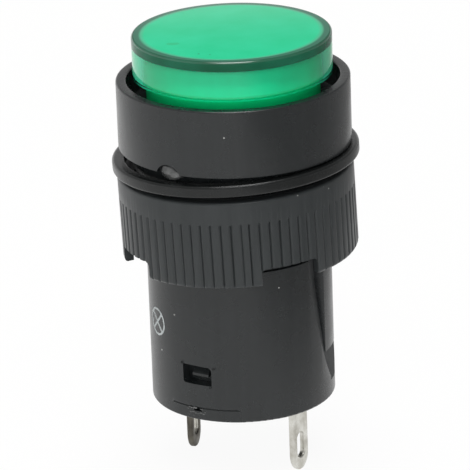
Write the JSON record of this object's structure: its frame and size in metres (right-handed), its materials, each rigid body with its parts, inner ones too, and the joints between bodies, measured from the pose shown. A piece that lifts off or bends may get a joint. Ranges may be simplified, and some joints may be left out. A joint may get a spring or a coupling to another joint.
{
  "type": "panel pilot light",
  "caption": "Round panel pilot light: green lens in a slim black bezel, threaded barrel with sealing ring and castellated lock nut, rear body with solder terminals.",
  "frame": {"origin": "centre of the bezel's underside, the plane that seats on the panel", "axes": "+Z along the lamp's axis towards the lens, -Z towards the terminals; -Y is the side with the front snap window"},
  "size_m": [0.0192, 0.019, 0.0353],
  "materials": {
    "black_plastic": "satin moulded black",
    "nut_plastic": "satin moulded black",
    "green_lens": "clear green tint, polished",
    "green_diffuser": "milky green",
    "tinned_metal": "tinned, slightly dull",
    "seal_rubber": "soft black, dull",
    "board_green": "green solder mask",
    "led_resin": "pale green clear resin",
    "lead_wire": "tinned wire",
    "white_plastic": "plain white",
    "resistor_tan": "lacquered",
    "diode_black": "moulded epoxy",
    "solder": "bright solder"
  },
  "bodies": {
    "housing": {"housing": "black_plastic", "lens": "green_lens", "diffuser": "green_diffuser", "base_plug": "black_plastic", "terminal_left": "tinned_metal", "terminal_right": "tinned_metal", "circuit_board": "board_green", "led": "led_resin", "led_anode": "lead_wire", "led_cathode": "lead_wire", "led_spacer": "white_plastic", "resistor": "resistor_tan", "resistor_lead_a": "lead_wire", "resistor_lead_b": "lead_wire", "diode": "diode_black", "diode_lead_a": "lead_wire", "diode_lead_b": "lead_wire", "terminal_solder_left": "solder", "terminal_solder_right": "solder", "component_solder": "solder"},
    "ring": {"gasket": "seal_rubber"},
    "nut": {"lock_nut": "nut_plastic"}
  },
  "joints": [
    {"name": "nut_turn", "type": "hinge", "parent": "housing", "child": "ring", "pos_m": [0, 0, 0], "axis": [0, 0, -1], "range_deg": [0, 1803]},
    {"name": "nut_travel", "type": "slide", "parent": "ring", "child": "nut", "axis": [0, 0, -1], "range_m": [0, 0.005]}
  ],
  "couplings": [
    {"joint": "nut_turn", "follows": "nut_travel", "rad_per_m": 6283.2}
  ]
}
